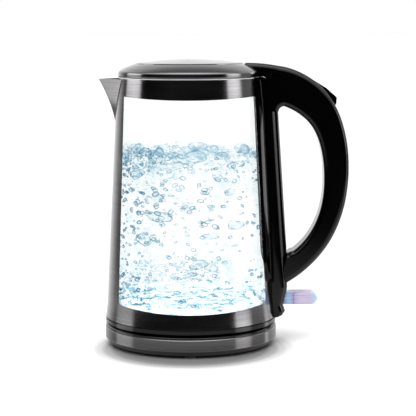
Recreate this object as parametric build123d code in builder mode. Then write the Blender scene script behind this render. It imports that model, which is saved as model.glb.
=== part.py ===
from build123d import *
import os
from math import cos, radians, sin, sqrt

os.makedirs("parts", exist_ok=True)

# A cordless electric kettle: a glass jug in a steel shell with two large windows, which turns and lifts
# on a round power base. The origin is on the jug's axis at the level of the feet. +X is the handle's
# side, -X the spout's side and +Z is up. All sizes are in millimetres.

# ---------------------------------------------------------------- power base
BASE_R = 74.0            # outside of the steel band
FOOT_R = 4.5
FOOT_CIRCLE = 66.0
FOOT_COUNT = 5
HUB_R = 45.0             # flat pad in the middle of the underside
HUB_LOW = 1.2
PLATE_LOW = 2.2
BAND_LOW = 6.0
BAND_HIGH = 15.8
BASE_TOP = 18.3
PAD_TOP = 20.1           # raised pad that the jug sits on
PAD_R = 60.0
WALL = 2.0               # plastic mouldings
BASE_SCREW_CIRCLE = 51.5
CONNECTOR_R = 13.0       # round power connector, usable at any angle
CONNECTOR_TOP = 27.6
CORD_Z = 10.9            # height of the cord's gland
GLAND_R = 4.6
GLAND_NECK = 4.0
CORD_HOLE = 3.2

# ---------------------------------------------------------------- jug
SKIRT_LOW = 19.7
SKIRT_HIGH = 23.5
SHELL_LOW = 24.6
SHELL_HIGH = 229.3
TRIM_HIGH = 230.2        # bright ring between the shell and the lid
LOW_R = 73.8             # shell's outer radius at its foot
KNEE_R, KNEE_Z = 72.0, 40.0
SHOULDER_R, SHOULDER_Z = 63.8, 193.0
TOP_R = 61.0
STEEL = 0.8
GLASS_GAP = 0.2
GLASS = 2.2
GLASS_LOW = 35.4
GLASS_HIGH = 218.0
PLATE_Z = 33.2           # underside of the heating plate
PLATE = 0.8
UNDER, OVER = 10.0, 245.0   # upright run of the shell's meridian past both ends, for cutting

# ---------------------------------------------------------------- lid and its hinge
LID_R = 61.2
LID_LOW = 230.5
LID_DISC_R = 45.6
LID_TOP = 245.2
HINGE_X, HINGE_Z = 67.4, 236.0
BARREL_R = 7.3           # round rear end of the lid's arm
BARREL_GAP = 0.4
ARM_HALF = 14.5
PIN_R = 1.5
PIN_HALF = 12.6
RUNNING = 0.05           # radial clearance of pins in their holes

# ---------------------------------------------------------------- handle
HANDLE_HALF = 14.0
BACK_ROUND = 4.6         # along the handle's back
GRIP_ROUND = 4.0         # along the fingers' side
SPINE_HALF = 15.0
SPINE_ROUND = 11.0       # corners of the spine, above the grip's lower end
FOOT_ROUND = 6.0         # and below it
COVER_DEPTH = 9.4        # from the handle's back to the seam
SEAM, SEAM_DEPTH = 0.3, 1.4      # groove between the handle's cover and its inner half
HANDLE_WALL = 2.6
FLANGE = 2.6             # thickness of the panel that hugs the jug
SPINE_SPACE_HALF = 9.6
BACK_TOP = 230.3

# ---------------------------------------------------------------- controls
LEVER_X, LEVER_Z = 76.6, 38.9      # pivot of the on/off lever
LEVER_END = 109.3
LEVER_HALF_Z = 5.2
LEVER_HALF_Y = 8.0
BUTTON_X, BUTTON_Z = 106.6, 222.8  # pivot of the lid's release button
BUTTON_HALF = 7.0


# ---------------------------------------------------------------- shared shapes
def draw_skin(shift):
    """Draw the shell's outer meridian, moved outwards by shift."""
    low, high = (LOW_R + shift, SHELL_LOW), (TOP_R + shift, SHELL_HIGH)
    knee, shoulder = (KNEE_R + shift, KNEE_Z), (SHOULDER_R + shift, SHOULDER_Z)
    rise = (SHOULDER_R - KNEE_R, SHOULDER_Z - KNEE_Z)
    Line((low[0], UNDER), low)
    TangentArc(knee, low, tangent=(-rise[0], -rise[1]))
    Line(knee, shoulder)
    TangentArc(shoulder, high, tangent=rise)
    Line(high, (high[0], OVER))


def skin_band(outer, inner, low, high):
    """Meridian section between two skins parallel to the shell, or from the axis if inner is None."""
    inner_low = 0 if inner is None else LOW_R + inner
    inner_high = 0 if inner is None else TOP_R + inner
    with BuildSketch(Plane.XZ) as band:
        with BuildLine():
            draw_skin(outer)
            if inner is None:
                Line((0, UNDER), (0, OVER))
            else:
                draw_skin(inner)
            Line((LOW_R + outer, UNDER), (inner_low, UNDER))
            Line((TOP_R + outer, OVER), (inner_high, OVER))
        make_face()
        with Locations((LOW_R, (low + high) / 2)):
            Rectangle(2 * LOW_R + 40, high - low, mode=Mode.INTERSECT)
    return band.sketch


def spun(*points, mode=Mode.ADD):
    """Spin a meridian polygon of (radius, height) corners about the jug's axis."""
    with BuildSketch(Plane.XZ) as meridian:
        with BuildLine():
            Polyline(*points, close=True)
        make_face()
    revolve(meridian.sketch, axis=Axis.Z, mode=mode)


def ring(outer, inner, low, high, mode=Mode.ADD):
    """Upright ring, or a disc where inner is 0."""
    with BuildSketch(Plane.XY.offset(low)) as plan:
        Circle(outer)
        if inner:
            Circle(inner, mode=Mode.SUBTRACT)
    extrude(plan.sketch, amount=high - low, mode=mode)


def posts(radius, circle, count, start, low, high, mode=Mode.ADD):
    """Upright cylinders spaced evenly round the jug's axis."""
    with BuildSketch(Plane.XY.offset(low)) as plan:
        with PolarLocations(circle, count, start_angle=start):
            Circle(radius)
    extrude(plan.sketch, amount=high - low, mode=mode)


def cross_rod(x, z, radius, half, mode=Mode.ADD):
    """Round rod along Y, centred on the jug's middle plane."""
    with BuildSketch(Plane.XZ) as section:
        with Locations((x, z)):
            Circle(radius)
    extrude(section.sketch, amount=half, both=True, mode=mode)


def slab(x, y, z, mode=Mode.ADD):
    """Box between two X, two Y and two Z limits."""
    middle = tuple((low + high) / 2 for low, high in (x, y, z))
    with Locations(middle):
        Box(x[1] - x[0], y[1] - y[0], z[1] - z[0], mode=mode)


def side_shape(points, half, mode=Mode.ADD):
    """Extrude a polygon of (x, z) corners to both sides of the middle plane."""
    with BuildSketch(Plane.XZ) as outline:
        with BuildLine():
            Polyline(*points, close=True)
        make_face()
    extrude(outline.sketch, amount=half, both=True, mode=mode)


def coil(radius, wire, pitch, height, base, direction=(0, 0, 1)):
    """Helical spring that starts at a base point."""
    with BuildPart() as spring:
        with BuildLine() as path:
            Helix(pitch, height, radius, center=base, direction=direction)
        start = path.line @ 0
        with BuildSketch(Plane(origin=start, z_dir=path.line % 0)):
            Circle(wire / 2)
        sweep(path=path.line, is_frenet=True)
    return spring


# ================================================================ power base
with BuildPart() as base_bottom:
    spun((0, PLATE_LOW), (BASE_R - 3.5, PLATE_LOW), (BASE_R - 1.0, BAND_LOW - 0.1),
         (BASE_R - 3.4, BAND_LOW - 0.1), (BASE_R - 5.2, PLATE_LOW + WALL), (0, PLATE_LOW + WALL))
    ring(HUB_R, 0, HUB_LOW, PLATE_LOW)
    posts(FOOT_R - 1.5, FOOT_CIRCLE, FOOT_COUNT, -90, PLATE_LOW, PLATE_LOW + WALL, mode=Mode.SUBTRACT)
    posts(1.5, BASE_SCREW_CIRCLE, 3, 30, PLATE_LOW, PLATE_LOW + WALL, mode=Mode.SUBTRACT)
    posts(3.0, BASE_SCREW_CIRCLE, 3, 30, PLATE_LOW, PLATE_LOW + 0.8, mode=Mode.SUBTRACT)
base_bottom.part.label = "base_bottom"
export_step(base_bottom.part, "parts/base_bottom.step")

with BuildPart() as base_band:
    spun((BASE_R, BAND_LOW + 0.5), (BASE_R, BAND_HIGH - 0.5), (BASE_R - 0.5, BAND_HIGH),
         (BASE_R - 1.6, BAND_HIGH), (BASE_R - 1.6, BAND_HIGH - STEEL), (BASE_R - STEEL, BAND_HIGH - STEEL),
         (BASE_R - STEEL, BAND_LOW + STEEL), (BASE_R - 1.6, BAND_LOW + STEEL), (BASE_R - 1.6, BAND_LOW),
         (BASE_R - 0.5, BAND_LOW))
    with BuildSketch(Plane.XZ.offset(-BASE_R - 5)):
        with Locations((0, CORD_Z)):
            Circle(GLAND_R + 0.1)
    extrude(amount=20, mode=Mode.SUBTRACT)
base_band.part.label = "base_band"
export_step(base_band.part, "parts/base_band.step")

# The top moulding has a wall behind the band, a rounded rim above it and a raised pad for the jug.
with BuildPart() as base_top:
    spun((CONNECTOR_R + 1.4, PAD_TOP), (PAD_R - 1.5, PAD_TOP), (PAD_R, BASE_TOP), (BASE_R - 1.4, BASE_TOP),
         (BASE_R - 0.3, BASE_TOP - 1.0), (BASE_R - 0.3, BAND_HIGH + 0.2), (BASE_R - 1.8, BAND_HIGH + 0.2),
         (BASE_R - 1.8, BAND_LOW + 0.1), (BASE_R - 1.8 - WALL, BAND_LOW + 0.1),
         (BASE_R - 1.8 - WALL, BASE_TOP - WALL), (PAD_R - 2, BASE_TOP - WALL), (PAD_R - 3.5, PAD_TOP - WALL),
         (CONNECTOR_R + 1.4, PAD_TOP - WALL))
    posts(4.0, BASE_SCREW_CIRCLE, 3, 30, PLATE_LOW + WALL + 0.1, PAD_TOP - 1)
    posts(1.4, BASE_SCREW_CIRCLE, 3, 30, PLATE_LOW + WALL, 14, mode=Mode.SUBTRACT)
    with BuildSketch(Plane.XZ.offset(-BASE_R - 5)):
        with Locations((0, CORD_Z)):
            Circle(GLAND_NECK + 0.05)
    extrude(amount=14, mode=Mode.SUBTRACT)
base_top.part.label = "base_top"
export_step(base_top.part, "parts/base_top.step")

with BuildPart() as rubber_feet:
    posts(FOOT_R, FOOT_CIRCLE, FOOT_COUNT, -90, 0, PLATE_LOW)
    chamfer(rubber_feet.faces().group_by(Axis.Z)[0].edges(), 0.6)
    posts(FOOT_R - 1.5, FOOT_CIRCLE, FOOT_COUNT, -90, PLATE_LOW, PLATE_LOW + WALL)
rubber_feet.part.label = "rubber_feet"
export_step(rubber_feet.part, "parts/rubber_feet.step")

with BuildPart() as base_screws:
    posts(2.8, BASE_SCREW_CIRCLE, 3, 30, PLATE_LOW + 0.2, PLATE_LOW + 0.8)
    posts(1.4, BASE_SCREW_CIRCLE, 3, 30, PLATE_LOW + 0.8, 13)
base_screws.part.label = "base_screws"
export_step(base_screws.part, "parts/base_screws.step")

# Male half of the power connector: a hub with a centre well, a slot for the earth ring and a side groove.
with BuildPart() as base_connector:
    ring(CONNECTOR_R + 5, 0, PAD_TOP - WALL - 3.2, PAD_TOP - WALL - 0.1)
    ring(CONNECTOR_R, 0, PAD_TOP - WALL - 0.1, CONNECTOR_TOP)
    fillet(base_connector.edges().group_by(Axis.Z)[-1], 1.2)
    ring(2.6, 0, PAD_TOP - WALL, CONNECTOR_TOP + 1, mode=Mode.SUBTRACT)
    ring(9.0, 7.6, PAD_TOP, CONNECTOR_TOP + 1, mode=Mode.SUBTRACT)
    ring(CONNECTOR_R + 1, CONNECTOR_R - 0.9, 22.2, 24.6, mode=Mode.SUBTRACT)
base_connector.part.label = "base_connector"
export_step(base_connector.part, "parts/base_connector.step")

with BuildPart() as live_pin:
    ring(1.5, 0, PAD_TOP - WALL, CONNECTOR_TOP - 1.6)
    chamfer(live_pin.edges().group_by(Axis.Z)[-1], 0.5)
live_pin.part.label = "live_pin"
export_step(live_pin.part, "parts/live_pin.step")

with BuildPart() as earth_ring:
    ring(8.7, 7.9, PAD_TOP, CONNECTOR_TOP - 1.2)
earth_ring.part.label = "earth_ring"
export_step(earth_ring.part, "parts/earth_ring.step")

with BuildPart() as neutral_ring:
    ring(CONNECTOR_R - 0.2, CONNECTOR_R - 0.9, 22.3, 24.5)
neutral_ring.part.label = "neutral_ring"
export_step(neutral_ring.part, "parts/neutral_ring.step")

with BuildPart() as cord_gland:
    with BuildSketch(Plane.XZ.offset(-BASE_R - 1.2)):
        with Locations((0, CORD_Z)):
            Circle(GLAND_R)
    extrude(amount=2.8)
    with BuildSketch(Plane.XZ.offset(-BASE_R + 1.6)):
        with Locations((0, CORD_Z)):
            Circle(GLAND_NECK)
    extrude(amount=7)
    with BuildSketch(Plane.XZ.offset(-BASE_R - 2)):
        with Locations((0, CORD_Z)):
            Circle(CORD_HOLE)
    extrude(amount=20, mode=Mode.SUBTRACT)
cord_gland.part.label = "cord_gland"
export_step(cord_gland.part, "parts/cord_gland.step")

# ================================================================ jug: socket, underside and heater
# Female half of the connector: it is round, so the jug can stand at any angle.
SOCKET_R = 20.0
SOCKET_TOP = 30.6
with BuildPart() as jug_socket:
    ring(SOCKET_R, CONNECTOR_R + 0.6, PAD_TOP + 0.4, SOCKET_TOP)
    ring(SOCKET_R, 0, CONNECTOR_TOP + 0.6, SOCKET_TOP)
    chamfer(jug_socket.edges().group_by(Axis.Z)[0].sort_by(SortBy.LENGTH)[0], 0.8)
jug_socket.part.label = "jug_socket"
export_step(jug_socket.part, "parts/jug_socket.step")

with BuildPart() as skirt_ring:
    spun((LOW_R - 0.6, SKIRT_LOW), (LOW_R, SKIRT_LOW + 0.6), (LOW_R, SKIRT_HIGH), (LOW_R - 1.8, SKIRT_HIGH),
         (LOW_R - 1.8, SHELL_LOW + 4), (LOW_R - 3.2, SHELL_LOW + 4), (LOW_R - 3.2, SKIRT_LOW + WALL),
         (PAD_R + 1, SKIRT_LOW + WALL), (PAD_R + 1, SKIRT_LOW))
skirt_ring.part.label = "skirt_ring"
export_step(skirt_ring.part, "parts/skirt_ring.step")

with BuildPart() as bottom_cover:
    ring(PAD_R + 0.9, SOCKET_R + 0.6, PAD_TOP + 0.5, PAD_TOP + 0.5 + WALL)
    posts(3.6, 50, 3, 90, PAD_TOP + 2.4, PLATE_Z - 1.7)
    posts(1.3, 50, 3, 90, PAD_TOP, PLATE_Z - 3, mode=Mode.SUBTRACT)
    posts(2.7, 50, 3, 90, PAD_TOP, PAD_TOP + 1.4, mode=Mode.SUBTRACT)
bottom_cover.part.label = "bottom_cover"
export_step(bottom_cover.part, "parts/bottom_cover.step")

with BuildPart() as cover_screws:
    posts(2.5, 50, 3, 90, PAD_TOP + 0.6, PAD_TOP + 1.4)
    posts(1.3, 50, 3, 90, PAD_TOP + 1.4, PLATE_Z - 4)
cover_screws.part.label = "cover_screws"
export_step(cover_screws.part, "parts/cover_screws.step")

# Thermal switch block, built round the socket under the heating plate.
with BuildPart() as control_unit:
    ring(33, SOCKET_R + 0.7, PAD_TOP + 2.7, SOCKET_TOP)
    slab((18, 40), (-11, 11), (PAD_TOP + 2.7, SOCKET_TOP - 2))
    ring(SOCKET_R + 0.7, 0, PAD_TOP, SOCKET_TOP + 1, mode=Mode.SUBTRACT)
    with PolarLocations(27, 2, start_angle=90):
        with Locations((0, 0, SOCKET_TOP)):
            Cylinder(6.3, 1.6, mode=Mode.SUBTRACT)
control_unit.part.label = "control_unit"
export_step(control_unit.part, "parts/control_unit.step")

with BuildPart() as bimetal_discs:
    posts(6.0, 27, 2, 90, SOCKET_TOP - 0.8, SOCKET_TOP - 0.3)
bimetal_discs.part.label = "bimetal_discs"
export_step(bimetal_discs.part, "parts/bimetal_discs.step")

# Sheathed element: an open ring under the plate, with a straight terminal at each end.
ELEMENT_RING = 43.0
ELEMENT_R = 3.3
ELEMENT_Z = PLATE_Z - 1.5 - ELEMENT_R
with BuildPart() as heating_element:
    with BuildLine() as element_path:
        CenterArc((0, 0, ELEMENT_Z), ELEMENT_RING, 27, 306)
    with BuildSketch(Plane(origin=element_path.line @ 0, z_dir=element_path.line % 0)):
        Circle(ELEMENT_R)
    sweep(path=element_path.line)
    for angle in (27, 333):
        end = Vector(ELEMENT_RING * cos(radians(angle)), ELEMENT_RING * sin(radians(angle)), ELEMENT_Z)
        with BuildSketch(Plane(origin=end, z_dir=(0, -1 if angle < 180 else 1, 0))):
            Circle(1.4)
        extrude(amount=7)
heating_element.part.label = "heating_element"
export_step(heating_element.part, "parts/heating_element.step")

with BuildPart() as heat_spreader:
    ring(54, 0, PLATE_Z - 1.5, PLATE_Z)
heat_spreader.part.label = "heat_spreader"
export_step(heat_spreader.part, "parts/heat_spreader.step")

with BuildPart() as heating_plate:
    spun((0, PLATE_Z), (69.4, PLATE_Z), (69.4, PLATE_Z + PLATE), (66.0, PLATE_Z + PLATE),
         (64.0, PLATE_Z + PLATE + 0.7), (0, PLATE_Z + PLATE + 0.7))
heating_plate.part.label = "heating_plate"
export_step(heating_plate.part, "parts/heating_plate.step")

with BuildPart() as plate_clamp:
    spun((69.6, SHELL_LOW + 4.2), (70.3, SHELL_LOW + 4.2), (70.3, PLATE_Z - 0.1), (60, PLATE_Z - 0.1),
         (60, PLATE_Z - 2), (68.0, PLATE_Z - 2), (68.0, SKIRT_LOW + 2.2), (69.6, SKIRT_LOW + 2.2))
plate_clamp.part.label = "plate_clamp"
export_step(plate_clamp.part, "parts/plate_clamp.step")

with BuildPart() as bottom_gasket:
    ring(71.0, 66.8, PLATE_Z + PLATE + 0.05, GLASS_LOW - 0.05)
bottom_gasket.part.label = "bottom_gasket"
export_step(bottom_gasket.part, "parts/bottom_gasket.step")

# ================================================================ jug: glass, shell and spout
with BuildPart() as glass_body:
    revolve(skin_band(-STEEL - GLASS_GAP, -STEEL - GLASS_GAP - GLASS, GLASS_LOW, GLASS_HIGH), axis=Axis.Z)
glass_body.part.label = "glass_body"
export_step(glass_body.part, "parts/glass_body.step")

# The spout is a folded beak. Each section is a triangle: height, nose, half width at the inner end.
BEAK_BACK = -48.0
BEAK_SECTIONS = ((187.0, -63.5, 33.0), (207.0, -68.8, 30.5), (228.6, -79.3, 30.9))
BEAK_ROUND = 3.5
with BuildPart() as beak_blank:
    for height, nose, half in BEAK_SECTIONS:
        with BuildSketch(Plane.XY.offset(height)) as section:
            with BuildLine():
                Polyline((nose, 0), (BEAK_BACK, half), (BEAK_BACK, -half), close=True)
            make_face()
            fillet(section.vertices().sort_by(Axis.X)[0], BEAK_ROUND)
    loft()
BEAK_HOLLOW = Pos(1.25, 0, 1.1) * beak_blank.part

with BuildPart() as jug_envelope:
    revolve(skin_band(0.05, None, 20, 240), axis=Axis.Z)

with BuildPart() as spout:
    add(beak_blank.part)
    add(BEAK_HOLLOW, mode=Mode.SUBTRACT)
    add(jug_envelope.part, mode=Mode.SUBTRACT)
spout.part.label = "spout"
export_step(spout.part, "parts/spout.step")

STEAM_PORT_Z = 223.4
REAR_EXTRA = 3.6         # the rear window is this much wider at each side, behind the front one's pillars


def cut_window(extra, side):
    """Cut the window in one half of the shell: -1 is the front half and 1 the rear one."""
    low_left, low_right = (-60.4 - extra, 40.0), (64.0 + 0.7 * extra, 40.0)
    high_left, high_right = (-54.6 - extra, 214.6), (54.9 + 0.7 * extra, 214.6)
    with BuildSketch(Plane.XZ) as window:
        with BuildLine():
            ThreePointArc(high_left, (0, 212.6), high_right)
            Line(high_right, low_right)
            ThreePointArc(low_right, (1.8, 36.5), low_left)
            Line(low_left, high_left)
        make_face()
        fillet(window.vertices().group_by(Axis.Y)[0], 4.0)
    extrude(window.sketch, amount=-90 * side, mode=Mode.SUBTRACT)


with BuildPart() as outer_shell:
    revolve(skin_band(0, -STEEL, SHELL_LOW, SHELL_HIGH), axis=Axis.Z)
    ring(TOP_R - 0.2, TOP_R - 1.5, SHELL_HIGH - 0.7, SHELL_HIGH)
    cut_window(0, -1)
    cut_window(REAR_EXTRA, 1)
    add(BEAK_HOLLOW, mode=Mode.SUBTRACT)
    with Locations(Plane.YZ.offset(50) * Pos(0, STEAM_PORT_Z, 0)):
        Cylinder(2.7, 40, mode=Mode.SUBTRACT)
outer_shell.part.label = "outer_shell"
export_step(outer_shell.part, "parts/outer_shell.step")

with BuildPart() as trim_ring:
    spun((TOP_R - 1.6, SHELL_HIGH), (TOP_R + 0.1, SHELL_HIGH), (TOP_R + 0.1, SHELL_HIGH + 0.2),
         (TOP_R - 0.6, TRIM_HIGH), (TOP_R - 1.6, TRIM_HIGH))
trim_ring.part.label = "trim_ring"
export_step(trim_ring.part, "parts/trim_ring.step")

with BuildPart() as top_gasket:
    ring(60.4, 58.6, GLASS_HIGH + 0.05, GLASS_HIGH + 1.3)
top_gasket.part.label = "top_gasket"
export_step(top_gasket.part, "parts/top_gasket.step")

# Inner ring of the mouth, open on the spout's side where the filter stands and with a port for steam.
RIM_LOW = GLASS_HIGH + 1.35
RIM_OUT, RIM_IN = 59.4, 58.3
FILTER_HALF_ANGLE = 19.0
with BuildPart() as rim_ring:
    ring(RIM_OUT, RIM_IN, RIM_LOW, SHELL_HIGH - 0.75)
    ring(60.4, RIM_IN, RIM_LOW, RIM_LOW + 1.2)
    pour = (RIM_OUT + 2) * sin(radians(FILTER_HALF_ANGLE))
    slab((-70, -50), (-pour, pour), (RIM_LOW + 1.2, 235), mode=Mode.SUBTRACT)
    with Locations(Plane.YZ.offset(50) * Pos(0, STEAM_PORT_Z, 0)):
        Cylinder(2.7, 40, mode=Mode.SUBTRACT)
rim_ring.part.label = "rim_ring"
export_step(rim_ring.part, "parts/rim_ring.step")

FILTER_LOW, FILTER_HIGH = RIM_LOW + 1.3, SHELL_HIGH - 0.9
filter_half = RIM_OUT * sin(radians(FILTER_HALF_ANGLE)) - 0.1
with BuildPart() as filter_frame:
    ring(RIM_OUT, RIM_IN, FILTER_LOW, FILTER_HIGH)
    slab((-70, -50), (-filter_half, filter_half), (FILTER_LOW, FILTER_HIGH), mode=Mode.INTERSECT)
    for side in (-1, 1):
        cell = sorted((side * 1.0, side * (filter_half - 1.6)))
        slab((-70, -50), cell, (FILTER_LOW + 1.1, FILTER_HIGH - 1.1), mode=Mode.SUBTRACT)
filter_frame.part.label = "filter_frame"
export_step(filter_frame.part, "parts/filter_frame.step")

with BuildPart() as filter_mesh:
    ring(58.95, 58.75, FILTER_LOW + 1.1, FILTER_HIGH - 1.1)
    slab((-70, -50), (1.6 - filter_half, filter_half - 1.6), (FILTER_LOW, FILTER_HIGH), mode=Mode.INTERSECT)
    slab((-70, -50), (-1, 1), (FILTER_LOW, FILTER_HIGH), mode=Mode.SUBTRACT)
filter_mesh.part.label = "filter_mesh"
export_step(filter_mesh.part, "parts/filter_mesh.step")

# ================================================================ handle
# Side outlines, as (x, z) points. The spine is the straight column beside the jug.
SPINE_LINE = ((24.6, 79.0), (28.6, 81.7), (33.4, 79.9), (44.2, 82.5), (49.4, 83.4), (84.8, 82.9), (199.2, 75.7),
              (BACK_TOP, 73.9))
HANDLE_BACK = ((74.25, 239.5), (98.6, 231.5), (117.9, 215.0), (130.9, 188.6), (135.8, 152.0), (131.3, 116.1),
               (119.5, 88.2), (102.0, 67.0), (83.2, 53.2))
GRIP_FRONT = ((80.6, 204.9), (92.0, 199.1), (103.2, 188.8), (110.6, 173.3), (114.5, 146.0), (111.3, 116.1),
              (101.9, 95.3), (88.5, 80.8))


def inset_points(points, inset, count):
    """Points spaced along a spline through the given ones, moved to its left by inset."""
    with BuildLine() as line:
        Spline(*points)
    curve = line.edges()[0]
    moved = []
    for i in range(count + 1):
        place, heading = curve @ (i / count), curve % (i / count)
        moved.append((place.X - heading.Y * inset, place.Y + heading.X * inset))
    return moved


def handle_band(near, far):
    """Side face between two depths under the handle's back, run on a little past both ends."""
    outer, inner = inset_points(HANDLE_BACK, -near, 12), inset_points(HANDLE_BACK, -far, 12)
    with BuildSketch(Plane.XZ) as band:
        with BuildLine():
            Spline(*outer)
            Spline(*inner)
            Polyline(outer[0], (outer[0][0] - 14, outer[0][1] + 3), (inner[0][0] - 14, inner[0][1] + 3),
                     inner[0])
            Polyline(outer[-1], (outer[-1][0] - 12, outer[-1][1] - 8), (inner[-1][0] - 12, inner[-1][1] - 8),
                     inner[-1])
        make_face()
    return band.sketch


seat_drop = sqrt((BARREL_R + BARREL_GAP) ** 2 - (HINGE_Z - BACK_TOP) ** 2)
with BuildPart() as handle_blank:
    with BuildSketch(Plane.XZ) as handle_side:
        with BuildLine():
            Spline(*HANDLE_BACK)
            Spline(*GRIP_FRONT)
            Polyline(HANDLE_BACK[-1], (80.4, 58.0), (80.4, 67.0), (83.6, 78.2))
            ThreePointArc((83.6, 78.2), (85.6, 80.0), GRIP_FRONT[-1])
            ThreePointArc(GRIP_FRONT[0], (77.4, 203.9), (75.6, 200.6))
            Polyline((75.6, 200.6), (68.0, 200.6), (68.0, BACK_TOP), (HINGE_X + seat_drop, BACK_TOP))
            ThreePointArc((HINGE_X + seat_drop, BACK_TOP), (HINGE_X + BARREL_R + BARREL_GAP, HINGE_Z),
                          HANDLE_BACK[0])
        make_face()
    extrude(amount=HANDLE_HALF, both=True)
    rims = handle_blank.edges().filter_by_position(Axis.Y, -HANDLE_HALF, -HANDLE_HALF)
    rims += handle_blank.edges().filter_by_position(Axis.Y, HANDLE_HALF, HANDLE_HALF)
    long_rims = rims.filter_by(GeomType.BSPLINE).sort_by(SortBy.LENGTH)
    turns = rims.filter_by(GeomType.CIRCLE).sort_by(SortBy.LENGTH)
    fillet(long_rims[:2] + turns[:4], GRIP_ROUND)
    rims = handle_blank.edges().filter_by(GeomType.BSPLINE).sort_by(SortBy.LENGTH)
    fillet([rim for rim in rims if abs(abs(rim.center().Y) - HANDLE_HALF) < 0.01][-2:], BACK_ROUND)

# Solids that are only used to cut others: the seat of the lid's barrel, the grip's inner space, the lower
# end of the grip and the space inside the spine.
with BuildPart() as barrel_seat:
    cross_rod(HINGE_X, HINGE_Z, BARREL_R + BARREL_GAP, 40)

with BuildPart() as grip_space:
    with BuildSketch(Plane.XZ) as space_side:
        with BuildLine():
            back = inset_points(HANDLE_BACK, -HANDLE_WALL - 0.4, 12)[1:-1]
            front = inset_points(GRIP_FRONT, HANDLE_WALL, 12)
            Spline(*back)
            Spline(*front)
            Line(back[0], front[0])
            Line(back[-1], front[-1])
        make_face()
    extrude(amount=HANDLE_HALF - HANDLE_WALL, both=True)

with BuildPart() as grip_end:
    add(handle_blank.part)
    slab((60, 100), (-20, 20), (40, 90), mode=Mode.INTERSECT)

with BuildPart() as spine_space:
    side_shape([(60, 29)] + [(x - HANDLE_WALL, max(z, 29)) for z, x in SPINE_LINE if z > 26] + [(60, 226)],
               SPINE_SPACE_HALF)

with BuildPart() as wide_envelope:
    revolve(skin_band(0.1, None, 12, 243), axis=Axis.Z)

# Panel that hugs the jug on both sides of the spine, and narrows below the window's edge.
with BuildPart() as flange:
    revolve(skin_band(FLANGE, 0.1, 50, BACK_TOP - 0.3), axis=Axis.Z)
    with BuildSketch(Plane.YZ) as panel:
        with BuildLine():
            Polyline((33.4, 74), (28.9, BACK_TOP), (-28.9, BACK_TOP), (-33.4, 74))
            ThreePointArc((-33.4, 74), (-27.5, 62.0), (-13, 53.6))
            ThreePointArc((33.4, 74), (27.5, 62.0), (13, 53.6))
            Line((-13, 53.6), (13, 53.6))
        make_face()
    extrude(amount=100, mode=Mode.INTERSECT)

LEVER_SLOT_LOW, LEVER_SLOT_HIGH = LEVER_Z - 6.2, LEVER_Z + 10.0
SCREW_PLACES = [(y, z) for z in (214.0, 71.0) for y in (-6.5, 6.5)]
PLATE_HALF = 9.0         # half width of the hinge bracket's foot
EAR_HALF = 4.0


def handle_screw_rods(radius, start, length, mode=Mode.ADD):
    """Rods along X at the places of the handle's screws; start is measured from the spine's inner face."""
    for y, z in SCREW_PLACES:
        face = 72.0 if z > 100 else 77.6
        with BuildSketch(Plane.YZ.offset(face + start)) as section:
            with Locations((y, z)):
                Circle(radius)
        extrude(section.sketch, amount=length, mode=mode)


with BuildPart() as spine_blank:
    for height, front in ((23.3, 76.4),) + SPINE_LINE:
        with BuildSketch(Plane.XY.offset(height)) as section:
            with Locations(((front + 58) / 2, 0)):
                Rectangle(front - 58, 2 * SPINE_HALF)
            fillet(section.vertices().group_by(Axis.X)[-1], SPINE_ROUND if height > 80 else FOOT_ROUND)
    loft(ruled=True)
    add(grip_end.part, mode=Mode.SUBTRACT)

with BuildPart() as handle_back:
    add(spine_blank.part)
    add(flange.part)
    add(grip_end.part, mode=Mode.SUBTRACT)
    add(wide_envelope.part, mode=Mode.SUBTRACT)
    add(spine_space.part, mode=Mode.SUBTRACT)
    add(barrel_seat.part, mode=Mode.SUBTRACT)
    slab((70, 90), (-LEVER_HALF_Y - 0.5, LEVER_HALF_Y + 0.5), (LEVER_SLOT_LOW, LEVER_SLOT_HIGH),
         mode=Mode.SUBTRACT)
    cross_rod(LEVER_X, LEVER_Z, 1.2, 13.8, mode=Mode.SUBTRACT)
    slab((63, 71), (-PLATE_HALF - 0.1, PLATE_HALF + 0.1), (225.5, 227.5), mode=Mode.SUBTRACT)
    slab((64.5, 70.3), (-EAR_HALF - 0.3, EAR_HALF + 0.3), (227, 231), mode=Mode.SUBTRACT)
    handle_screw_rods(1.5, -2, 14, mode=Mode.SUBTRACT)
handle_back.part.label = "handle_back"
export_step(handle_back.part, "parts/handle_back.step")

# The release button turns on a pin inside the cover, and its pocket leaves room for the stroke.
BUTTON_SIDE = ((105.6, 227.0), (116.5, 220.2), (125.3, 212.3), (124.9, 206.4), (120.6, 204.6), (113.0, 213.2),
               (108.0, 219.6), (104.4, 220.8))
POCKET_SIDE = ((104.9, 231.5), (104.6, 227.6), (103.4, 220.2), (107.0, 218.4), (111.4, 211.9), (118.0, 202.2),
               (123.8, 203.6), (131.0, 204.5), (131.0, 231.5))
latch_start, latch_end = Vector(75.8, 0, 232.6), Vector(99.6, 0, 223.8)
latch_way = (latch_end - latch_start).normalized()
latch_plane = Plane(origin=latch_start, x_dir=latch_way, z_dir=(0, -1, 0))
latch_length = (latch_end - latch_start).length
with BuildPart() as latch_channel:
    with BuildSketch(latch_plane):
        with Locations((latch_length / 2, 0)):
            Rectangle(latch_length + 8, 3.8)
    extrude(amount=3.9, both=True)

with BuildPart() as handle_cover:
    add(handle_blank.part)
    extrude(handle_band(-9, COVER_DEPTH), amount=30, both=True, mode=Mode.INTERSECT)
    add(grip_space.part, mode=Mode.SUBTRACT)
    add(spine_blank.part, mode=Mode.SUBTRACT)
    add(latch_channel.part, mode=Mode.SUBTRACT)
    side_shape(POCKET_SIDE, BUTTON_HALF + 0.4, mode=Mode.SUBTRACT)
    cross_rod(BUTTON_X, BUTTON_Z, 1.2, 12.5, mode=Mode.SUBTRACT)
handle_cover.part.label = "handle_cover"
export_step(handle_cover.part, "parts/handle_cover.step")

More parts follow.
